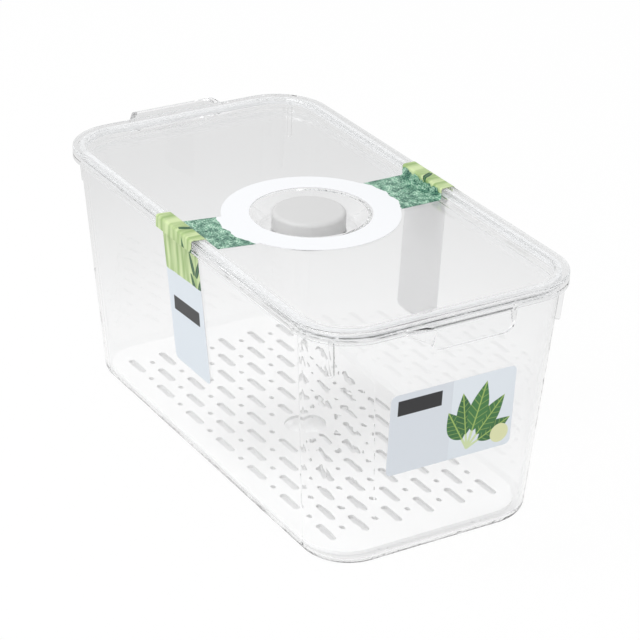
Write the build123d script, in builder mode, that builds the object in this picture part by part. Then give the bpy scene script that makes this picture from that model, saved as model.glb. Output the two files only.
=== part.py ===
from build123d import *
import os
from math import asin, degrees, sqrt

# A clear storage keeper for produce. Millimetres, +Z up, the origin on the
# ground under the middle of the base. +X is the end with the printed label,
# and the long sides face -Y and +Y.

# Rim, where tub and lid meet
rim_length = 313.0
rim_width = 167.0
rim_corner = 33.5

# Tub
end_draft = 9.05
side_draft = 10.65
corner_draft = 1.2
base_rounding = 6.5
wall = 1.9
floor_thickness = 2.2
seam_height = 143.3
flange_thickness = 2.0
flange_overhang = 4.2
lip_thickness = 1.4
lip_depth = 0.9

# Stacking ribs on the tub's corners
rib_thickness = 2.4
rib_proud = 2.6
rib_height = 21.0
rib_bite = 1.0

# Grips, hoods that are open below, one at each short end
grip_reach = 12.0
grip_rise = 6.0
grip_drop = 9.6
grip_lean = 2.0
grip_flat = 1.0
grip_root_width = 69.0
grip_crest_width = 49.0
grip_bottom_width = 43.0
grip_shoulder_width = 54.0
grip_shoulder_rise = 4.8
grip_wall = 2.0
grip_crest_rounding = 2.5
grip_edge_rounding = 5.0
grip_plan_rounding = 12.0

# Lid
lid_height = 4.2
lid_thickness = 2.0
skirt_thickness = 2.0
riser_thickness = 1.8
panel_drop = 6.85
plug_depth = 1.25
lid_clearance = 0.35
seam_gap = 0.1
edge_rounding = 1.2

# Round dish in the lid, wide enough for fingertips beside the knob
finger_room = 7.0
dish_lean = 5.5
dish_depth = 10.0
dish_wall = 2.0
dish_rounding = 1.5
mark_height = 0.5
mark_width = 1.2
mark_angle = 12.0

# Vent
vent_count = 4
vent_middle_radius = 12.5
vent_width = 4.0
vent_sweep = 20.0
vent_travel = 45.0

# Knob and its spindle
knob_radius = 21.0
knob_height = 10.1
knob_lift = 1.65
knob_wall = 2.2
knob_top_thickness = 2.5
knob_rounding = 2.4
hub_radius = 6.5
spindle_radius = 4.0
spindle_clearance = 0.08
spindle_flat = 1.2
spindle_stub = 0.5
spindle_grip = 0.02

# Shutter under the dish, and the ring that seals it
shutter_margin = 2.7
shutter_thickness = 1.8
shutter_gap = 0.3
vent_seal_margin = 2.3
vent_seal_width = 2.0
vent_seal_groove = 0.6
vent_seal_clearance = 0.05
stop_diameter = 2.4
stop_clearance = 0.3
stop_inset = 0.5

# Soft ring between lid and flange
lid_seal_width = 2.5

# Drain tray
tray_thickness = 1.95
tray_side_clearance = 1.6
tray_end_clearance = 4.4
tray_foot_diameter = 7.0
tray_foot_height = 2.2
tray_foot_spacing = 120.0
tray_end_foot_spacing = 60.0
tray_foot_inset = 0.8
slot_length = 18.4
slot_width = 4.3
dot_length = 4.0
dot_width = 2.8
slot_column_pitch = 18.5
slot_row_pitch = 10.3
finger_hole_diameter = 22.0
finger_hole_land = 2.5

# Printed labels
label_thickness = 0.3
label_gap = 0.05
ring_margin = 1.4
ring_width = 15.8
ring_offset = 0.9
band_width = 41.0
band_lap = 5.7
leg_foot_height = 58.7
leg_landing_height = 137.0
leg_corner = 3.5
near_strap_start_shift = 3.2
near_rim_shift = -4.5
far_rim_shift = 0.0
near_foot_shift = 0.0
far_foot_shift = 3.5
front_label_width = 78.5
front_label_height = 49.0
front_label_middle_y = 1.4
front_label_middle_height = 78.6
front_label_corner = 3.5

# Heights that follow from the sizes above
flange_bottom = seam_height - flange_thickness
lip_bottom = flange_bottom - lip_depth
lid_top = seam_height + lid_height
panel_top = lid_top - panel_drop
panel_bottom = panel_top - lid_thickness
plug_bottom = panel_bottom - plug_depth
dish_floor_top = panel_top - dish_depth
dish_floor_bottom = dish_floor_top - dish_wall
tray_bottom = floor_thickness + tray_foot_height
skirt_depth = lid_height - lid_thickness

# Radii about the knob's axis that follow from the sizes above
dish_floor_radius = knob_radius + finger_room
dish_radius = dish_floor_radius + dish_lean
ring_inner_radius = dish_radius + ring_margin
ring_outer_radius = ring_inner_radius + ring_width
vent_seal_inner_radius = vent_middle_radius + vent_width / 2 + vent_seal_margin
vent_seal_outer_radius = vent_seal_inner_radius + vent_seal_width
shutter_radius = vent_seal_outer_radius + shutter_margin
stop_radius = shutter_radius - stop_inset

os.makedirs("parts", exist_ok=True)


def tub_outline(height, inset=0.0):
    """Length, width and corner radius of the drafted wall at one height."""
    drop = 1 - height / flange_bottom
    length = rim_length - 2 * (flange_overhang + end_draft * drop + inset)
    width = rim_width - 2 * (flange_overhang + side_draft * drop + inset)
    corner = rim_corner - flange_overhang - corner_draft * drop - inset
    return length, width, corner


def rim_outline(inset=0.0):
    """Length, width and corner radius of the rim, drawn in by an inset."""
    return rim_length - 2 * inset, rim_width - 2 * inset, rim_corner - inset


plug_outline = tub_outline(plug_bottom, wall + lid_clearance)
well_outline = (
    plug_outline[0] - 2 * riser_thickness,
    plug_outline[1] - 2 * riser_thickness,
    plug_outline[2] - riser_thickness,
)
seal_outline = (
    plug_outline[0] + 2 * lid_seal_width,
    plug_outline[1] + 2 * lid_seal_width,
    plug_outline[2] + lid_seal_width,
)


# Grip

def grip_block(inset, root_x):
    """A hood's outer shape, or with an inset the hollow inside it."""
    end_x = rim_length / 2
    crest_z = seam_height + grip_rise
    bottom = grip_bottom - grip_drop
    with BuildPart() as block:
        with BuildSketch(Plane.XZ) as side:
            with BuildLine():
                Polyline(
                    (root_x, seam_height),
                    (end_x + grip_flat, seam_height),
                    (end_x + grip_reach, crest_z),
                    (end_x + grip_reach - grip_lean, grip_bottom),
                    (end_x + grip_reach - grip_lean, bottom),
                    (root_x, bottom),
                    close=True,
                )
            make_face()
            fillet(side.vertices().sort_by(Axis.Y)[-1], grip_crest_rounding)
            offset(amount=-inset, kind=Kind.INTERSECTION)
        extrude(amount=grip_root_width, both=True)
        with BuildSketch(Plane.XY.offset(bottom - grip_drop)) as plan:
            with BuildLine():
                Polyline(
                    (root_x, -grip_root_width / 2),
                    (end_x, -grip_root_width / 2),
                    (end_x + grip_reach, -grip_crest_width / 2),
                    (end_x + grip_reach, grip_crest_width / 2),
                    (end_x, grip_root_width / 2),
                    (root_x, grip_root_width / 2),
                    close=True,
                )
            make_face()
            fillet(plan.vertices().group_by(Axis.X)[-1], grip_plan_rounding)
            offset(amount=-inset, kind=Kind.INTERSECTION)
        extrude(amount=crest_z - bottom + 2 * grip_drop, mode=Mode.INTERSECT)
    return block.part


grip_bottom = seam_height - grip_drop
lip_inner_x = rim_length / 2 - lip_thickness
hood_block = grip_block(0, lip_inner_x)
hood_hollow = grip_block(grip_wall, lip_inner_x - 2 * grip_wall)

with BuildPart() as hood:
    add(hood_block)
    # The lower edge dips in the middle and rises towards the flange
    with BuildSketch(Plane.YZ) as front:
        with BuildLine():
            Polyline(
                (-grip_root_width / 2, seam_height + grip_drop),
                (-grip_root_width / 2, lip_bottom),
                (-grip_shoulder_width / 2, grip_bottom + grip_shoulder_rise),
                (-grip_bottom_width / 2, grip_bottom),
                (grip_bottom_width / 2, grip_bottom),
                (grip_shoulder_width / 2, grip_bottom + grip_shoulder_rise),
                (grip_root_width / 2, lip_bottom),
                (grip_root_width / 2, seam_height + grip_drop),
                close=True,
            )
        make_face()
        fillet(front.vertices().group_by(Axis.Y)[0], grip_edge_rounding)
    extrude(amount=rim_length, mode=Mode.INTERSECT)


# Tub

with BuildPart() as cavity:
    with BuildSketch(Plane.XY.offset(floor_thickness)):
        RectangleRounded(*tub_outline(floor_thickness, wall))
    with BuildSketch(Plane.XY.offset(seam_height)):
        RectangleRounded(*tub_outline(seam_height, wall))
    loft(ruled=True)
    fillet(cavity.edges().group_by(Axis.Z)[0], base_rounding - wall)

with BuildPart() as tub:
    with BuildSketch(Plane.XY):
        RectangleRounded(*tub_outline(0))
    with BuildSketch(Plane.XY.offset(flange_bottom)):
        RectangleRounded(*tub_outline(flange_bottom))
    loft(ruled=True)
    fillet(tub.edges().group_by(Axis.Z)[0], base_rounding)

    # Stacking ribs stand on the corner diagonals and follow the wall's slope
    for side_x in (-1, 1):
        for side_y in (-1, 1):
            rib_points = []
            for height, proud in (
                (flange_bottom - rib_height, -rib_bite),
                (flange_bottom - rib_height, rib_proud),
                (flange_bottom, rib_proud),
                (flange_bottom, -rib_bite),
            ):
                length, width, corner = tub_outline(height)
                reach = (corner + proud) / sqrt(2)
                x = length / 2 - corner + reach
                y = width / 2 - corner + reach
                rib_points.append((x, y, height))
            middle_x = sum(point[0] for point in rib_points) / len(rib_points)
            middle_y = sum(point[1] for point in rib_points) / len(rib_points)
            rib_plane = Plane(
                origin=(side_x * middle_x, side_y * middle_y, 0),
                x_dir=(side_x, side_y, 0),
                z_dir=(side_y, -side_x, 0),
            )
            outline = []
            for x, y, height in rib_points:
                along = (x - middle_x + y - middle_y) / sqrt(2)
                outline.append((along, height))
            with BuildSketch(rib_plane):
                with BuildLine():
                    Polyline(*outline, close=True)
                make_face()
            extrude(amount=rib_thickness / 2, both=True)

    # Flange with its turned-down lip, and the two hoods
    with BuildSketch(Plane.XY.offset(flange_bottom)):
        RectangleRounded(*rim_outline())
    extrude(amount=flange_thickness)
    with BuildSketch(Plane.XY.offset(lip_bottom)):
        RectangleRounded(*rim_outline())
        RectangleRounded(*rim_outline(lip_thickness), mode=Mode.SUBTRACT)
    extrude(amount=lip_depth)
    add(hood.part)
    mirror(hood.part, about=Plane.YZ)
    add(hood_hollow, mode=Mode.SUBTRACT)
    mirror(hood_hollow, about=Plane.YZ, mode=Mode.SUBTRACT)

    add(cavity.part, mode=Mode.SUBTRACT)

tub.part.label = "tub"
export_step(tub.part, "parts/tub.step")


# Drain tray

floor_bend = base_rounding - wall
bend_drop = max(floor_bend - tray_foot_height, 0)
bend_bite = floor_bend - sqrt(floor_bend ** 2 - bend_drop ** 2)
beside_tray = tub_outline(tray_bottom, wall + bend_bite)
tray_outline = (
    beside_tray[0] - 2 * tray_end_clearance,
    beside_tray[1] - 2 * tray_side_clearance,
    beside_tray[2] - tray_side_clearance,
)
floor_outline = tub_outline(floor_thickness, wall + floor_bend)
foot_reach = tray_foot_diameter / 2 + tray_foot_inset
foot_x = floor_outline[0] / 2 - foot_reach
foot_y = floor_outline[1] / 2 - foot_reach

tray_feet = []
for side in (-1, 1):
    for along in (-1, 1):
        tray_feet.append((along * tray_foot_spacing / 2, side * foot_y))
        tray_feet.append((side * foot_x, along * tray_end_foot_spacing / 2))

# Slots and dots take turns, as far out as the feet leave room
last_slot_x = foot_x - tray_foot_diameter / 2 - slot_length / 2
last_slot_y = foot_y - tray_foot_diameter / 2 - slot_width / 2
columns_each_way = int(last_slot_x / slot_column_pitch)
rows_each_way = int(last_slot_y / slot_row_pitch)
slot_centres = []
dot_centres = []
for column in range(-columns_each_way, columns_each_way + 1):
    for row in range(-rows_each_way, rows_each_way + 1):
        centre = (column * slot_column_pitch, row * slot_row_pitch)
        beside_hole = abs(column) + abs(row) <= 1
        if (column + row) % 2 == 0 and not beside_hole:
            dot_centres.append(centre)
        elif not beside_hole:
            slot_centres.append(centre)

short_slot_start = finger_hole_diameter / 2 + finger_hole_land
short_slot_end = slot_column_pitch + slot_length / 2
short_slot_middle = (short_slot_start + short_slot_end) / 2

with BuildPart() as drain_tray:
    with BuildSketch(Plane.XY.offset(tray_bottom)):
        RectangleRounded(*tray_outline)
        Circle(finger_hole_diameter / 2, mode=Mode.SUBTRACT)
        with Locations(*slot_centres):
            SlotOverall(slot_length, slot_width, mode=Mode.SUBTRACT)
        with Locations((-short_slot_middle, 0), (short_slot_middle, 0)):
            SlotOverall(short_slot_end - short_slot_start, slot_width, mode=Mode.SUBTRACT)
        with Locations(*dot_centres):
            SlotOverall(dot_length, dot_width, mode=Mode.SUBTRACT)
    extrude(amount=tray_thickness)
    with BuildSketch(Plane.XY.offset(floor_thickness)):
        with Locations(*tray_feet):
            Circle(tray_foot_diameter / 2)
    extrude(amount=tray_foot_height)

drain_tray.part.label = "drain_tray"
export_step(drain_tray.part, "parts/drain_tray.step")


# Lid

shutter_top = dish_floor_bottom - shutter_gap
shutter_bottom = shutter_top - shutter_thickness

with BuildPart() as lid:
    # Rim and skirt, a hairline above the flange as the lid rests on its soft ring
    with BuildSketch(Plane.XY.offset(seam_height + seam_gap)):
        RectangleRounded(*rim_outline())
    extrude(amount=lid_height - seam_gap)
    fillet(lid.edges().group_by(Axis.Z)[-1], edge_rounding)
    with BuildSketch(Plane.XY.offset(seam_height)):
        RectangleRounded(*rim_outline(skirt_thickness))
    extrude(amount=skirt_depth, mode=Mode.SUBTRACT)

    # Riser, panel and the plug that drops into the tub
    with BuildSketch(Plane.XY.offset(plug_bottom)):
        RectangleRounded(*plug_outline)
    extrude(amount=lid_top - lid_thickness / 2 - plug_bottom)
    with BuildSketch(Plane.XY.offset(plug_bottom)):
        RectangleRounded(*well_outline)
    extrude(amount=plug_depth, mode=Mode.SUBTRACT)
    with BuildSketch(Plane.XY.offset(panel_top)):
        RectangleRounded(*well_outline)
    extrude(amount=panel_drop, mode=Mode.SUBTRACT)
    well_edge = lid.edges().group_by(Axis.Z)[-1].filter_by(
        lambda edge: abs(edge.center().Y) < well_outline[1] / 2 + edge_rounding
        and abs(edge.center().X) < well_outline[0] / 2 + edge_rounding
    )
    fillet(well_edge, edge_rounding)

    # Dish
    with BuildSketch(Plane.XZ):
        with BuildLine():
            Polyline(
                (0, panel_bottom),
                (dish_radius + dish_wall, panel_bottom),
                (dish_floor_radius + dish_wall, dish_floor_bottom),
                (0, dish_floor_bottom),
                close=True,
            )
        make_face()
    revolve(axis=Axis.Z)
    fillet(lid.edges().group_by(Axis.Z)[0], dish_rounding + dish_wall)
    with BuildSketch(Plane.XZ):
        with BuildLine():
            Polyline(
                (0, panel_top),
                (dish_radius, panel_top),
                (dish_floor_radius, dish_floor_top),
                (0, dish_floor_top),
                close=True,
            )
        make_face()
    revolve(axis=Axis.Z, mode=Mode.SUBTRACT)
    dish_floor_edge = lid.edges().filter_by(GeomType.CIRCLE).filter_by(
        lambda edge: abs(edge.center().Z - dish_floor_top) < dish_wall / 10
    )
    fillet(dish_floor_edge, dish_rounding)

    # Setting mark on the dish floor, beside the knob
    mark_start = knob_radius + dish_rounding
    mark_end = dish_floor_radius - dish_rounding
    with BuildSketch(Plane.XY.offset(dish_floor_top)):
        with PolarLocations((mark_start + mark_end) / 2, 1, start_angle=mark_angle):
            Rectangle(mark_end - mark_start, mark_width)
    extrude(amount=mark_height)

    # Vent slots, spindle bore, seal groove and stop peg
    with BuildSketch(Plane.XY.offset(dish_floor_bottom)):
        Circle(spindle_radius + spindle_clearance)
        for index in range(vent_count):
            start = index * 360 / vent_count - vent_sweep / 2
            SlotArc(CenterArc((0, 0), vent_middle_radius, start, vent_sweep), vent_width)
    extrude(amount=dish_wall, mode=Mode.SUBTRACT)
    with BuildSketch(Plane.XY.offset(dish_floor_bottom)):
        Circle(vent_seal_outer_radius + vent_seal_clearance)
        Circle(vent_seal_inner_radius - vent_seal_clearance, mode=Mode.SUBTRACT)
    extrude(amount=vent_seal_groove, mode=Mode.SUBTRACT)
    with BuildSketch(Plane.XY.offset(shutter_bottom)):
        with Locations((stop_radius, 0)):
            Circle(stop_diameter / 2)
    extrude(amount=shutter_thickness + shutter_gap)

lid.part.label = "lid"
export_step(lid.part, "parts/lid.step")


# Ring that seals lid and flange

with BuildPart() as lid_seal:
    with BuildSketch(Plane.XY.offset(seam_height)):
        RectangleRounded(*seal_outline)
        RectangleRounded(*plug_outline, mode=Mode.SUBTRACT)
    extrude(amount=skirt_depth)

lid_seal.part.label = "lid_seal"
export_step(lid_seal.part, "parts/lid_seal.step")


# Vent knob, with a flat on the lower end of its spindle

knob_bottom = dish_floor_top + knob_lift
knob_top = knob_bottom + knob_height
spindle_end = shutter_bottom - spindle_stub

with BuildPart() as vent_knob:
    with BuildSketch(Plane.XY.offset(knob_bottom)):
        Circle(knob_radius)
    extrude(amount=knob_height)
    fillet(vent_knob.edges().group_by(Axis.Z)[-1], knob_rounding)
    with BuildSketch(Plane.XY.offset(knob_bottom)):
        Circle(knob_radius - knob_wall)
    extrude(amount=knob_height - knob_top_thickness, mode=Mode.SUBTRACT)
    with BuildSketch(Plane.XY.offset(dish_floor_top)):
        Circle(hub_radius)
    extrude(amount=knob_top - knob_top_thickness - dish_floor_top)
    with BuildSketch(Plane.XY.offset(shutter_top)):
        Circle(spindle_radius)
    extrude(amount=dish_floor_top - shutter_top)
    with BuildSketch(Plane.XY.offset(spindle_end)):
        Circle(spindle_radius)
        with Locations((spindle_radius, 0)):
            Rectangle(2 * spindle_flat, 2 * spindle_radius, mode=Mode.SUBTRACT)
    extrude(amount=shutter_top - spindle_end)

vent_knob.part.label = "vent_knob"
export_step(vent_knob.part, "parts/vent_knob.step")


# Shutter, closed at rest: its slots sit between those of the dish

stop_angle = degrees(asin((stop_diameter / 2 + stop_clearance) / stop_radius))
notch_start = -vent_travel - stop_angle
notch_sweep = vent_travel + 2 * stop_angle
notch_middle_radius = stop_radius
notch_width = stop_diameter + 2 * stop_clearance

with BuildPart() as vent_shutter:
    with BuildSketch(Plane.XY.offset(shutter_bottom)):
        Circle(shutter_radius)
        Circle(spindle_radius - spindle_grip, mode=Mode.SUBTRACT)
        for index in range(vent_count):
            start = (index + 0.5) * 360 / vent_count - vent_sweep / 2
            SlotArc(
                CenterArc((0, 0), vent_middle_radius, start, vent_sweep),
                vent_width,
                mode=Mode.SUBTRACT,
            )
        with BuildLine():
            notch_end = notch_start + notch_sweep
            inner = CenterArc(
                (0, 0), notch_middle_radius - notch_width / 2, notch_start, notch_sweep
            )
            outer = CenterArc(
                (0, 0), shutter_radius + notch_width, notch_start, notch_sweep
            )
            Line(inner @ 0, outer @ 0)
            Line(inner @ 1, outer @ 1)
        make_face(mode=Mode.SUBTRACT)
    extrude(amount=shutter_thickness)
    # Filling beside the spindle's flat
    with BuildSketch(Plane.XY.offset(shutter_bottom)):
        Circle(spindle_radius)
        with Locations((-spindle_flat, 0)):
            Rectangle(2 * spindle_radius, 2 * spindle_radius, mode=Mode.SUBTRACT)
    extrude(amount=shutter_thickness)

vent_shutter.part.label = "vent_shutter"
export_step(vent_shutter.part, "parts/vent_shutter.step")


# Soft ring between the dish and the shutter

with BuildPart() as vent_seal:
    with BuildSketch(Plane.XY.offset(shutter_top)):
        Circle(vent_seal_outer_radius)
        Circle(vent_seal_inner_radius, mode=Mode.SUBTRACT)
    extrude(amount=shutter_gap + vent_seal_groove)

vent_seal.part.label = "vent_seal"
export_step(vent_seal.part, "parts/vent_seal.step")


# Printed band over the lid: a ring and two straps

well_half_width = well_outline[1] / 2
strap_start = ring_outer_radius - band_lap
bend_radius = edge_rounding + label_gap

with BuildPart() as label_band:
    with BuildSketch(Plane.YZ):
        with BuildLine():
            FilletPolyline(
                (strap_start, panel_top + label_gap),
                (well_half_width - label_gap, panel_top + label_gap),
                (well_half_width - label_gap, lid_top + label_gap),
                (rim_width / 2 + label_gap, lid_top + label_gap),
                (rim_width / 2 + label_gap, lip_bottom),
                radius=bend_radius,
            )
            offset(amount=label_thickness, side=Side.LEFT)
        make_face()
    extrude(amount=band_width, both=True)
    mirror(about=Plane.XZ)
    # The near strap runs a little askew to the rim
    with BuildSketch(Plane.XY):
        with BuildLine():
            Polyline(
                (near_rim_shift - band_width / 2, -rim_width / 2 - lid_height),
                (near_rim_shift + band_width / 2, -rim_width / 2 - lid_height),
                (near_strap_start_shift + band_width / 2, -strap_start),
                (far_rim_shift + band_width / 2, strap_start),
                (far_rim_shift + band_width / 2, rim_width / 2 + lid_height),
                (far_rim_shift - band_width / 2, rim_width / 2 + lid_height),
                (far_rim_shift - band_width / 2, strap_start),
                (near_strap_start_shift - band_width / 2, -strap_start),
                close=True,
            )
        make_face()
    extrude(amount=lid_top + lid_height, mode=Mode.INTERSECT)
    # The ring was stuck down a little off the middle
    with BuildSketch(Plane.XY.offset(panel_top + label_gap)):
        with Locations((ring_offset, ring_offset)):
            Circle(ring_outer_radius)
    extrude(amount=label_thickness)
    with BuildSketch(Plane.XY.offset(panel_top)):
        with Locations((ring_offset, ring_offset)):
            Circle(ring_inner_radius)
    extrude(amount=lid_height, mode=Mode.SUBTRACT)

label_band.part.label = "label_band"
export_step(label_band.part, "parts/label_band.step")


# Ends of the band, from the flange's lower edge to the tub's long walls

def band_leg(side, name, rim_shift, foot_shift):
    """One end of the band; side is -1 for the near wall and 1 for the far."""
    landing_y = tub_outline(leg_landing_height)[1] / 2 + label_gap
    foot_y = tub_outline(leg_foot_height)[1] / 2 + label_gap
    with BuildPart() as leg:
        with BuildSketch(Plane.YZ):
            with BuildLine():
                Polyline(
                    (side * (rim_width / 2 + label_gap), lip_bottom),
                    (side * landing_y, leg_landing_height),
                    (side * foot_y, leg_foot_height),
                    (side * (foot_y + label_thickness), leg_foot_height),
                    (side * (landing_y + label_thickness), leg_landing_height),
                    (side * (rim_width / 2 + label_gap + label_thickness), lip_bottom),
                    close=True,
                )
            make_face()
        extrude(amount=band_width, both=True)
        with BuildSketch(Plane.XZ) as front_view:
            with BuildLine():
                Polyline(
                    (foot_shift - band_width / 2, leg_foot_height),
                    (foot_shift + band_width / 2, leg_foot_height),
                    (rim_shift + band_width / 2, lip_bottom),
                    (rim_shift - band_width / 2, lip_bottom),
                    close=True,
                )
            make_face()
            fillet(front_view.vertices().group_by(Axis.Y)[0], leg_corner)
        extrude(amount=rim_width, both=True, mode=Mode.INTERSECT)
    leg.part.label = name
    export_step(leg.part, "parts/" + name + ".step")


band_leg(-1, "label_leg_near", near_rim_shift, near_foot_shift)
band_leg(1, "label_leg_far", far_rim_shift, far_foot_shift)


# Label on the front wall

wall_slope = (tub_outline(1)[0] - tub_outline(0)[0]) / 2
front_wall_x = tub_outline(front_label_middle_height)[0] / 2
front_plane = Plane(
    origin=(front_wall_x, front_label_middle_y, front_label_middle_height),
    x_dir=(0, 1, 0),
    z_dir=(1, 0, -wall_slope),
)

with BuildPart() as label_front:
    with BuildSketch(front_plane.offset(label_gap)):
        RectangleRounded(front_label_width, front_label_height, front_label_corner)
    extrude(amount=label_thickness)

label_front.part.label = "label_front"
export_step(label_front.part, "parts/label_front.step")
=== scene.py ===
import math

import bpy
from mathutils import Matrix, Vector


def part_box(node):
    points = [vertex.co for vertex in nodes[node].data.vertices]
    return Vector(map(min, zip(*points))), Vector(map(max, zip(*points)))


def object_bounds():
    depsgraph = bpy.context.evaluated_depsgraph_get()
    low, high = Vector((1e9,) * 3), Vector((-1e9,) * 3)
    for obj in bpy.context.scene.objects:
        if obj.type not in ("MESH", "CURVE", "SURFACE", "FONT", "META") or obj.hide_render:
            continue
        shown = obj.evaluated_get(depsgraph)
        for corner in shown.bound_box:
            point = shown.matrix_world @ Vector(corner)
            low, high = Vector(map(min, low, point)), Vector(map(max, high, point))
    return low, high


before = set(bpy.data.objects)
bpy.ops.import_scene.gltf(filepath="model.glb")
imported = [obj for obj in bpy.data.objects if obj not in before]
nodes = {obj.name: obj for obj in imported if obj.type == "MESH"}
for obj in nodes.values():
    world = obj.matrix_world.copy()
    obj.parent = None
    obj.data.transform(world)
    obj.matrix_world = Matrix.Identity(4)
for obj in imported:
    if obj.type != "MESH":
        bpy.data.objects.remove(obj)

# A clear produce keeper with a vented lid, on a white table. Metres, in the
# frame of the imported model: +Z up, +X towards the end with the printed label.

cad_low, cad_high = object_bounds()

# Camera
CAMERA_PLACE = Vector((1.1357, -0.6765, 0.7261))
CAMERA_AZIMUTH = math.radians(58.895)
CAMERA_ELEVATION = math.radians(26.272)
CAMERA_ROLL = math.radians(1.261)
CAMERA_LENS_MM = 145.04
SENSOR_MM = 36.0

# Room, with a darker patch beyond the keeper that draws the edges of the clear
# parts. Heights and edges are those of a unit direction.
SKY_LOW = 1.0
SKY_HIGH = 0.85
SKY_LOW_Z = 0.15
SKY_HIGH_Z = 0.75
DARK_SIDE = Vector((-0.768, 0.463, 0.443))
DARK_SHARE = 0.85
DARK_OUTER_COSINE = 0.70
DARK_INNER_COSINE = 0.92

# Lamp
KEY_POWER = 14.5
KEY_SIZE = 1.2
KEY_PLACE = Vector((-0.1, -1.0, 1.5))
KEY_TARGET = Vector((0.0, 0.0, 0.07))

# Table: its glow is for rays that show it, and is duller far from the middle
TABLE_HALF = 6.0
TABLE_GAP = 0.0002
TABLE_GREY = 0.86
GLOW_NEAR = 0.97
GLOW_FAR = 0.72
GLOW_NEAR_REACH = 0.08
GLOW_FAR_REACH = 0.45
GLOW_SHARE = 0.80
GLOW_SHARE_MORE_TO_LENS = 0.14

# Light crosses many plastic faces on its way
BOUNCES = 96

# Colours, linear
CLEAR_TINT = (0.990, 0.991, 0.992)
CLEAR_TINT_DEEP = (0.984, 0.986, 0.988)
CLEAR_TO_LIGHT = (0.98, 0.98, 0.98)
SEAL_DEEP = (0.84, 0.85, 0.86)
SEAL_PALE = (0.90, 0.91, 0.92)
KNOB_GREY = (0.60, 0.60, 0.60)
SHUTTER_GREY = (0.64, 0.64, 0.64)
TRAY_WHITE = (0.93, 0.93, 0.93)
PAPER_BLUE = (0.68, 0.72, 0.77)
# The band's ends have their own tone of the paper blue, set for how light falls on them: painted
# light.
LEG_BLUE_PAINTED_LIGHT = (0.61, 0.66, 0.71)
PAPER_WHITE = (0.80, 0.81, 0.83)
SKY_PRINT_LOW = (0.71, 0.76, 0.81)
SKY_PRINT_HIGH = (0.75, 0.80, 0.85)
FILM_BACK = (0.765, 0.765, 0.77)
INK = (0.025, 0.025, 0.027)
LEAF_DARK = (0.012, 0.060, 0.030)
LEAF_MID = (0.060, 0.200, 0.055)
LEAF_LIGHT = (0.330, 0.480, 0.120)
FOLIAGE_DEEP = (0.012, 0.075, 0.060)
FOLIAGE_MID = (0.130, 0.340, 0.220)
FOLIAGE_TIP = (0.620, 0.820, 0.680)
STALK = (0.600, 0.700, 0.400)
STALK_SHADE = (0.230, 0.360, 0.130)
DISC_YELLOW = (0.70, 0.72, 0.42)

# Clear plastic
CLEAR_IOR = 1.57
CLEAR_ROUGHNESS = 0.006

# Print on the band: distances are along the film from the middle of the lid
BAND_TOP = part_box("label_band")[1].z
RIM_RISE = 0.00685
RIM_FOLD_Y = 0.0830
STALKS_START = 0.0830
STALKS_BLEND = 0.0006
RAGGED_DEPTH = 0.008
RING_EDGE = 0.0546
RING_BLEND = 0.0004
RING_WAVE = 0.004

# Print on the band's ends. The print is a little askew to the rim.
LEG_TILT = 0.04
LEG_GREEN_START = 0.1165
LEG_GREEN_BLEND = 0.0005
LEG_WAVE = 0.002
LEG_STALKS_FROM = 0.230
LEG_BAR_X = (-0.0172, 0.0128)
LEG_BAR_Z = (0.0917, 0.1005)

# Print on the front label
PICTURE_START_Y = 0.0007
PICTURE_SKY_Z = (0.054, 0.103)
FRONT_BAR_Y = (-0.0332, -0.0059)
FRONT_BAR_Z = (0.0900, 0.0991)
DISC_PLACE = (0.0330, 0.0628)
DISC_RADIUS = 0.0058
PRINT_EDGE = 0.0001
FAN_ROOT = (0.0125, 0.0585)
FAN = (
    # turn in degrees, length, width, tone
    (64.0, 0.030, 0.0110, 0.25),
    (-28.0, 0.029, 0.0120, 0.45),
    (38.0, 0.036, 0.0120, 0.60),
    (-8.0, 0.036, 0.0110, 0.15),
    (14.0, 0.041, 0.0130, 0.85),
)
BLADE_START = 0.25
BLADE_BELLY = 0.75


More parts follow.
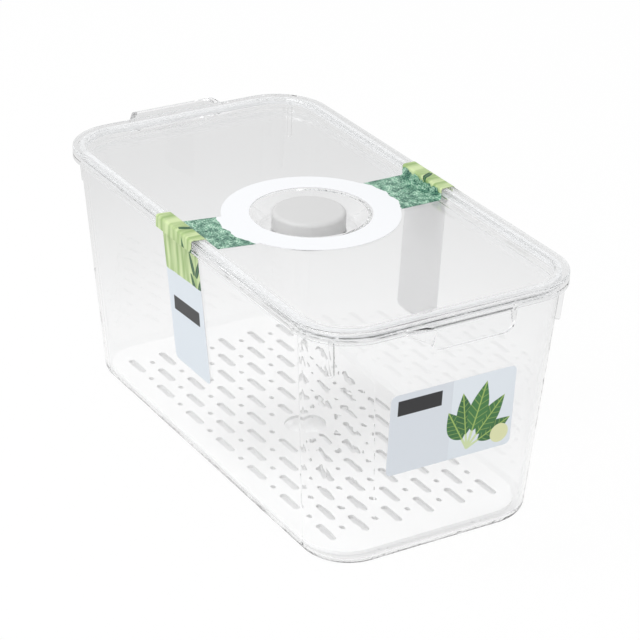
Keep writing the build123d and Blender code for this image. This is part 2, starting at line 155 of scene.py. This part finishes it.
class Graph:
    """The node tree of a material or the world, with short calls for its nodes."""

    def __init__(self, owner):
        owner.use_nodes = True
        self.owner = owner
        self.tree = owner.node_tree
        self.shader = self.tree.nodes.get("Principled BSDF")

    def node(self, kind, **settings):
        node = self.tree.nodes.new(kind)
        for name, value in settings.items():
            setattr(node, name, value)
        return node

    def feed(self, socket, value):
        """Gives a socket a number, a colour or another node's output."""
        if isinstance(value, bpy.types.NodeSocket):
            self.tree.links.new(value, socket)
        elif isinstance(value, tuple) and len(value) == 3 and socket.type == "RGBA":
            socket.default_value = (*value, 1.0)
        else:
            socket.default_value = value

    def set(self, **values):
        for name, value in values.items():
            self.feed(self.shader.inputs[name.replace("_", " ")], value)

    def math(self, operation, first, second=0.0, third=0.0):
        node = self.node("ShaderNodeMath", operation=operation)
        for socket, value in zip(node.inputs, (first, second, third)):
            self.feed(socket, value)
        return node.outputs[0]

    def both(self, first, second):
        return self.math("MULTIPLY", first, second)

    def plus(self, first, second):
        return self.math("ADD", first, second)

    def minus(self, first, second):
        return self.math("SUBTRACT", first, second)

    def most(self, first, second):
        return self.math("MAXIMUM", first, second)

    def rest(self, value):
        """What is left of 1."""
        return self.math("SUBTRACT", 1.0, value)

    def vector(self, operation, first, second):
        node = self.node("ShaderNodeVectorMath", operation=operation)
        self.feed(node.inputs[0], first)
        self.feed(node.inputs[1], second)
        return node

    def place(self):
        """Position in the row frame, in metres."""
        return self.node("ShaderNodeTexCoord").outputs["Object"]

    def normal(self):
        return self.node("ShaderNodeTexCoord").outputs["Normal"]

    def split(self, vector):
        node = self.node("ShaderNodeSeparateXYZ")
        self.feed(node.inputs[0], vector)
        return node.outputs[0], node.outputs[1], node.outputs[2]

    def join(self, x, y, z=0.0):
        node = self.node("ShaderNodeCombineXYZ")
        for socket, value in zip(node.inputs, (x, y, z)):
            self.feed(socket, value)
        return node.outputs[0]

    def step(self, value, start, end):
        """0 below start and 1 above end, smooth in between."""
        node = self.node("ShaderNodeMapRange", interpolation_type="SMOOTHSTEP")
        self.feed(node.inputs["Value"], value)
        self.feed(node.inputs["From Min"], start)
        self.feed(node.inputs["From Max"], end)
        return node.outputs[0]

    def inside(self, value, span, edge):
        """1 within a span of two ends, with soft edges."""
        low, high = span
        rise = self.step(value, low - edge, low + edge)
        fall = self.step(value, high - edge, high + edge)
        return self.minus(rise, fall)

    def mix(self, share, first, second):
        node = self.node("ShaderNodeMix", data_type="RGBA")
        self.feed(node.inputs["Factor"], share)
        self.feed(node.inputs[6], first)
        self.feed(node.inputs[7], second)
        return node.outputs[2]

    def noise(self, vector, scale, detail=2.0, roughness=0.5):
        node = self.node("ShaderNodeTexNoise")
        self.feed(node.inputs["Vector"], vector)
        node.inputs["Scale"].default_value = scale
        node.inputs["Detail"].default_value = detail
        node.inputs["Roughness"].default_value = roughness
        return node.outputs[0]

    def cells(self, vector, scale, randomness=1.0):
        """Flat cells, each with a middle, a colour by chance and a distance."""
        node = self.node("ShaderNodeTexVoronoi", voronoi_dimensions="2D", feature="F1")
        self.feed(node.inputs["Vector"], vector)
        node.inputs["Scale"].default_value = scale
        node.inputs["Randomness"].default_value = randomness
        return node.outputs

    def span(self, value, low, high):
        """Maps 0..1 to low..high."""
        return self.math("MULTIPLY_ADD", value, high - low, low)

    def reach(self, x, y):
        """Distance of a point from the origin of a plane."""
        return self.math("SQRT", self.plus(self.both(x, x), self.both(y, y)))

    def bump(self, height, distance, strength):
        node = self.node("ShaderNodeBump")
        self.feed(node.inputs["Height"], height)
        node.inputs["Distance"].default_value = distance
        node.inputs["Strength"].default_value = strength
        self.feed(self.shader.inputs["Normal"], node.outputs[0])

    def blend(self, share, first, second):
        """Mixes two shaders."""
        node = self.node("ShaderNodeMixShader")
        self.feed(node.inputs[0], share)
        self.tree.links.new(first, node.inputs[1])
        self.tree.links.new(second, node.inputs[2])
        return node.outputs[0]

    def let_light_in(self, colour):
        """Lamps and the room's soft light pass straight through to what is inside."""
        path = self.node("ShaderNodeLightPath")
        clear = self.node("ShaderNodeBsdfTransparent")
        self.feed(clear.inputs["Color"], colour)
        surface = self.shader.outputs[0]
        for name in ("Is Diffuse Ray", "Is Shadow Ray"):
            surface = self.blend(path.outputs[name], surface, clear.outputs[0])
        self.tree.links.new(surface, self.tree.nodes["Material Output"].inputs["Surface"])


def new_graph(name):
    return Graph(bpy.data.materials.new(name))


# Plastics

def clear_plastic(name):
    """Polished clear plastic with a faint uneven haze."""
    graph = new_graph(name)
    haze = graph.noise(graph.place(), 90.0, 3.0)
    graph.set(
        Base_Color=graph.mix(haze, CLEAR_TINT_DEEP, CLEAR_TINT),
        Transmission_Weight=1.0,
        IOR=CLEAR_IOR,
        Roughness=graph.span(haze, 0.0, 2 * CLEAR_ROUGHNESS),
    )
    graph.let_light_in(CLEAR_TO_LIGHT)
    return graph.owner


def silicone():
    """Milky rubber that lets half of what is behind it show."""
    graph = new_graph("silicone")
    haze = graph.noise(graph.place(), 400.0, 3.0)
    graph.set(
        Base_Color=graph.mix(haze, SEAL_DEEP, SEAL_PALE),
        Roughness=graph.span(haze, 0.3, 0.45),
        Alpha=0.5,
    )
    return graph.owner


def moulded(name, colour, roughness, grain):
    """Opaque moulded plastic with a fine spark-eroded grain."""
    graph = new_graph(name)
    place = graph.place()
    cloud = graph.noise(place, 35.0, 3.0)
    darker = tuple(0.955 * c for c in colour)
    fine = graph.noise(place, 5200.0, 2.0, 0.6)
    graph.set(
        Base_Color=graph.mix(cloud, darker, colour),
        Roughness=graph.span(cloud, roughness - 0.05, roughness + 0.06),
        Specular_IOR_Level=0.4,
    )
    graph.bump(fine, grain, 0.4)
    return graph.owner


# Printed film

def film(graph, colour):
    """Finish of printed film: a soft sheen and a faint orange peel."""
    place = graph.place()
    peel = graph.noise(place, 900.0, 2.0)
    graph.set(
        Base_Color=colour,
        Roughness=graph.span(graph.noise(place, 60.0), 0.33, 0.45),
        Specular_IOR_Level=0.4,
    )
    graph.bump(peel, 0.00002, 0.3)


def blade_layer(graph, vector, scale, shift, spread):
    """Scattered narrow blades: where they are, a pale rib, and a number for each."""
    moved = graph.vector("ADD", vector, shift).outputs[0]
    cells = graph.cells(moved, scale, 0.75)
    local = graph.vector("SUBTRACT", moved, cells["Position"]).outputs[0]
    chance, second_chance, _ = graph.split(cells["Color"])
    turn = graph.node("ShaderNodeVectorRotate", rotation_type="Z_AXIS")
    graph.feed(turn.inputs["Vector"], local)
    angle = graph.math("MULTIPLY_ADD", chance, spread, (math.pi - spread) / 2)
    graph.feed(turn.inputs["Angle"], angle)
    along, across, _ = graph.split(turn.outputs[0])
    length = 0.70 / scale
    width = 0.13 / scale
    along = graph.math("DIVIDE", along, length)
    across = graph.math("DIVIDE", graph.math("ABSOLUTE", across), width)
    bow = graph.rest(graph.both(along, along))
    bow = graph.both(bow, graph.math("MULTIPLY_ADD", along, -0.3, 1.0))
    mask = graph.step(graph.minus(bow, across), 0.0, 0.07)
    rib = graph.rest(graph.step(across, 0.10, 0.30))
    return mask, rib, second_chance


def foliage(graph, vector):
    """Fine curly leaves in teal greens, bunched in clumps."""
    buds = graph.cells(vector, 900.0)
    rise = graph.rest(graph.step(buds["Distance"], 0.20, 0.60))
    clump = graph.step(graph.noise(vector, 170.0, 3.0), 0.36, 0.64)
    chance, _, _ = graph.split(buds["Color"])
    deep = graph.mix(clump, FOLIAGE_DEEP, FOLIAGE_MID)
    tip = graph.mix(clump, FOLIAGE_MID, FOLIAGE_TIP)
    return graph.mix(graph.both(rise, graph.span(chance, 0.35, 1.2)), deep, tip)


def stalks(graph, across, along):
    """Pale stalks that run along the band, with a few dark blades over them."""
    stretched = graph.join(across, graph.math("MULTIPLY", along, 0.10))
    streak = graph.step(graph.noise(stretched, 210.0, 2.0), 0.30, 0.66)
    fine = graph.noise(stretched, 900.0, 2.0)
    colour = graph.mix(streak, STALK_SHADE, STALK)
    colour = graph.mix(graph.span(fine, 0.0, 0.35), colour, LEAF_LIGHT)
    flat = graph.join(across, along)
    mask, rib, chance = blade_layer(graph, flat, 75.0, (0.013, 0.041, 0.0), 1.1)
    mask = graph.both(mask, graph.step(chance, 0.35, 0.37))
    return graph.mix(mask, colour, graph.mix(rib, LEAF_DARK, LEAF_MID))


def band_material():
    graph = new_graph("band_print_top")
    x, y, z = graph.split(graph.place())
    out = graph.math("ABSOLUTE", y)
    # Distance along the band from the middle of the lid
    climb = graph.minus(z, BAND_TOP - RIM_RISE)
    fall = graph.math("SUBTRACT", BAND_TOP + RIM_RISE, z)
    outside = graph.math("GREATER_THAN", out, RIM_FOLD_Y)
    bend = graph.plus(climb, graph.both(outside, graph.minus(fall, climb)))
    along = graph.plus(out, bend)
    leaf_place = graph.join(x, along)
    rag = graph.noise(leaf_place, 160.0, 2.0)
    ragged = graph.math("MULTIPLY_ADD", rag, RAGGED_DEPTH, along)
    warm = graph.step(ragged, STALKS_START, STALKS_START + STALKS_BLEND)
    leaves = graph.mix(warm, foliage(graph, leaf_place), stalks(graph, x, along))
    # White ring, with the print starting in a wavy edge outside it
    wave = graph.math("MULTIPLY", graph.noise(leaf_place, 150.0, 1.0), RING_WAVE)
    start = graph.step(graph.plus(graph.reach(x, y), wave), RING_EDGE, RING_EDGE + RING_BLEND)
    colour = graph.mix(start, PAPER_WHITE, leaves)
    _, _, up = graph.split(graph.normal())
    back = graph.math("LESS_THAN", up, -0.5)
    film(graph, graph.mix(back, colour, FILM_BACK))
    return graph.owner


def leg_material(name, side):
    """One end of the band; side is -1 for the near wall and 1 for the far."""
    graph = new_graph(name)
    x, _, z = graph.split(graph.place())
    level = graph.math("MULTIPLY_ADD", x, side * LEG_TILT, z)
    wave = graph.math("MULTIPLY", graph.noise(graph.join(x, 0.0), 120.0, 2.0), LEG_WAVE)
    height = graph.plus(level, wave)
    green = graph.step(height, LEG_GREEN_START, LEG_GREEN_START + LEG_GREEN_BLEND)
    leaves = stalks(graph, x, graph.math("SUBTRACT", LEG_STALKS_FROM, z))
    bar_across = graph.inside(x, LEG_BAR_X, PRINT_EDGE)
    bar_up = graph.inside(level, LEG_BAR_Z, PRINT_EDGE)
    # Outside the bar, the ends show the paper blue in a tone set for how light falls on them:
    # painted light.
    colour = graph.mix(graph.both(bar_across, bar_up), LEG_BLUE_PAINTED_LIGHT, INK)
    colour = graph.mix(green, colour, leaves)
    _, facing, _ = graph.split(graph.normal())
    back = graph.math("LESS_THAN", graph.math("MULTIPLY", facing, side), 0.1)
    film(graph, graph.mix(back, colour, FILM_BACK))
    return graph.owner


def fan_leaf(graph, colour, y, z, turn, length, width, tone):
    """One veined leaf on a stem that starts at the root of the fan."""
    angle = math.radians(turn)
    dy = graph.minus(y, FAN_ROOT[0])
    dz = graph.minus(z, FAN_ROOT[1])
    along = graph.plus(
        graph.math("MULTIPLY", dy, math.sin(angle)),
        graph.math("MULTIPLY", dz, math.cos(angle)),
    )
    across = graph.minus(
        graph.math("MULTIPLY", dy, math.cos(angle)),
        graph.math("MULTIPLY", dz, math.sin(angle)),
    )
    run = graph.math("DIVIDE", along, length)
    side = graph.math("DIVIDE", graph.math("ABSOLUTE", across), width / 2)
    blade = graph.math("MULTIPLY", graph.minus(run, BLADE_START), 1 / (1 - BLADE_START))
    swell = graph.math("POWER", graph.most(blade, 0.0), BLADE_BELLY)
    bow = graph.math("SINE", graph.math("MULTIPLY", swell, math.pi))
    thin = graph.rest(graph.step(side, 0.10, 0.16))
    stem = graph.both(graph.inside(run, (0.0, 2 * BLADE_START), 0.02), thin)
    shape = graph.step(graph.minus(bow, side), 0.0, 0.06)
    mask = graph.both(shape, graph.inside(run, (BLADE_START, 1.0), 0.002))
    rib = graph.rest(graph.step(side, 0.03, 0.10))
    slant = graph.math("MULTIPLY_ADD", side, -0.12, run)
    veins = graph.math("SINE", graph.math("MULTIPLY", slant, 62.0))
    veins = graph.math("MULTIPLY", graph.step(veins, 0.75, 1.0), 0.55)
    body = graph.mix(tone, LEAF_DARK, LEAF_MID)
    body = graph.mix(graph.noise(graph.place(), 500.0), body, LEAF_MID)
    leaf = graph.mix(graph.most(rib, veins), body, LEAF_LIGHT)
    colour = graph.mix(stem, colour, STALK)
    return graph.mix(mask, colour, leaf)


def front_material():
    graph = new_graph("front_print")
    _, y, z = graph.split(graph.place())
    picture = graph.step(y, PICTURE_START_Y, PICTURE_START_Y + PRINT_EDGE)
    sky = graph.mix(graph.step(z, *PICTURE_SKY_Z), SKY_PRINT_LOW, SKY_PRINT_HIGH)
    colour = graph.mix(picture, PAPER_BLUE, sky)
    bar_across = graph.inside(y, FRONT_BAR_Y, PRINT_EDGE)
    bar_up = graph.inside(z, FRONT_BAR_Z, PRINT_EDGE)
    colour = graph.mix(graph.both(bar_across, bar_up), colour, INK)
    for leaf in FAN:
        colour = fan_leaf(graph, colour, y, z, *leaf)
    dy = graph.minus(y, DISC_PLACE[0])
    dz = graph.minus(z, DISC_PLACE[1])
    disc_low = DISC_RADIUS - PRINT_EDGE
    disc = graph.rest(graph.step(graph.reach(dy, dz), disc_low, disc_low + 2 * PRINT_EDGE))
    colour = graph.mix(disc, colour, DISC_YELLOW)
    outward, _, _ = graph.split(graph.normal())
    back = graph.math("LESS_THAN", outward, 0.1)
    film(graph, graph.mix(back, colour, FILM_BACK))
    return graph.owner


# Which material each piece has

def dress(material, *pieces):
    for piece in pieces:
        for slot in nodes[piece].material_slots:
            slot.material = material


dress(clear_plastic("clear_tub"), "tub")
dress(clear_plastic("clear_lid"), "lid")
dress(silicone(), "lid_seal", "vent_seal")
dress(moulded("knob_grey", KNOB_GREY, 0.42, 0.00001), "vent_knob")
dress(moulded("shutter_grey", SHUTTER_GREY, 0.4, 0.00001), "vent_shutter")
dress(moulded("tray_white", TRAY_WHITE, 0.4, 0.000008), "drain_tray")
dress(band_material(), "label_band")
dress(leg_material("leg_near_print", -1.0), "label_leg_near")
dress(leg_material("leg_far_print", 1.0), "label_leg_far")
dress(front_material(), "label_front")


# Stage

def table_material():
    graph = new_graph("table_white")
    graph.tree.nodes.clear()
    matt = graph.node("ShaderNodeBsdfDiffuse")
    graph.feed(matt.inputs["Color"], (TABLE_GREY, TABLE_GREY, TABLE_GREY))
    glow = graph.node("ShaderNodeEmission")
    path = graph.node("ShaderNodeLightPath").outputs
    # Plain white to the lens itself, and a little duller away from the middle in plastic
    away = graph.vector("LENGTH", graph.place(), (0.0, 0.0, 0.0)).outputs["Value"]
    fade = graph.step(away, GLOW_NEAR_REACH, GLOW_FAR_REACH)
    strength = graph.most(path["Is Camera Ray"], graph.span(fade, GLOW_NEAR, GLOW_FAR))
    graph.feed(glow.inputs["Strength"], strength)
    # Glow only for the rays that show the table, straight or through glass and gloss
    shown = graph.most(path["Is Camera Ray"], path["Is Glossy Ray"])
    shown = graph.most(shown, path["Is Transmission Ray"])
    share = graph.math("MULTIPLY_ADD", path["Is Camera Ray"], GLOW_SHARE_MORE_TO_LENS, GLOW_SHARE)
    surface = graph.blend(graph.both(shown, share), matt.outputs[0], glow.outputs[0])
    end = graph.node("ShaderNodeOutputMaterial")
    graph.tree.links.new(surface, end.inputs["Surface"])
    return graph.owner


def make_table():
    mesh = bpy.data.meshes.new("table")
    signs = ((-1, -1), (1, -1), (1, 1), (-1, 1))
    corners = [(x * TABLE_HALF, y * TABLE_HALF, 0.0) for x, y in signs]
    mesh.from_pydata(corners, [], [(0, 1, 2, 3)])
    mesh.materials.append(table_material())
    table = bpy.data.objects.new("table", mesh)
    table.location.z = cad_low.z - TABLE_GAP
    bpy.context.scene.collection.objects.link(table)


def make_world():
    world = bpy.data.worlds.new("studio")
    bpy.context.scene.world = world
    graph = Graph(world)
    toward = graph.node("ShaderNodeTexCoord").outputs["Generated"]
    _, _, up = graph.split(toward)
    sky = graph.span(graph.step(up, SKY_LOW_Z, SKY_HIGH_Z), SKY_LOW, SKY_HIGH)
    facing = graph.vector("DOT_PRODUCT", toward, DARK_SIDE).outputs["Value"]
    patch = graph.step(facing, DARK_OUTER_COSINE, DARK_INNER_COSINE)
    room = graph.both(sky, graph.span(patch, 1.0, DARK_SHARE))
    # The camera's own rays see plain white
    path = graph.node("ShaderNodeLightPath").outputs
    background = graph.tree.nodes["Background"]
    graph.feed(background.inputs["Color"], (1.0, 1.0, 1.0))
    graph.feed(background.inputs["Strength"], graph.most(path["Is Camera Ray"], room))


def make_key_light():
    data = bpy.data.lights.new("key", "AREA")
    data.shape = "SQUARE"
    data.size = KEY_SIZE
    data.energy = KEY_POWER
    lamp = bpy.data.objects.new("key", data)
    lamp.location = KEY_PLACE
    lamp.rotation_mode = "QUATERNION"
    lamp.rotation_quaternion = (KEY_TARGET - KEY_PLACE).to_track_quat("-Z", "Y")
    bpy.context.scene.collection.objects.link(lamp)


def make_camera():
    cos_up = math.cos(CAMERA_ELEVATION)
    sin_up = math.sin(CAMERA_ELEVATION)
    cos_round = math.cos(CAMERA_AZIMUTH)
    sin_round = math.sin(CAMERA_AZIMUTH)
    cos_roll = math.cos(CAMERA_ROLL)
    sin_roll = math.sin(CAMERA_ROLL)
    back = Vector((sin_round * cos_up, -cos_round * cos_up, sin_up))
    right = Vector((cos_round, sin_round, 0.0))
    up = back.cross(right)
    across = cos_roll * right + sin_roll * up
    upward = cos_roll * up - sin_roll * right
    data = bpy.data.cameras.new("camera")
    data.lens = CAMERA_LENS_MM
    data.sensor_width = SENSOR_MM
    camera = bpy.data.objects.new("camera", data)
    turn = Matrix((across, upward, back)).transposed().to_4x4()
    camera.matrix_world = Matrix.Translation(CAMERA_PLACE) @ turn
    bpy.context.scene.collection.objects.link(camera)
    bpy.context.scene.camera = camera


make_table()
make_world()
make_key_light()
make_camera()
bpy.context.scene.view_settings.view_transform = "Standard"
cycles = bpy.context.scene.cycles
cycles.max_bounces = BOUNCES
cycles.glossy_bounces = BOUNCES
cycles.transmission_bounces = BOUNCES
cycles.transparent_max_bounces = BOUNCES
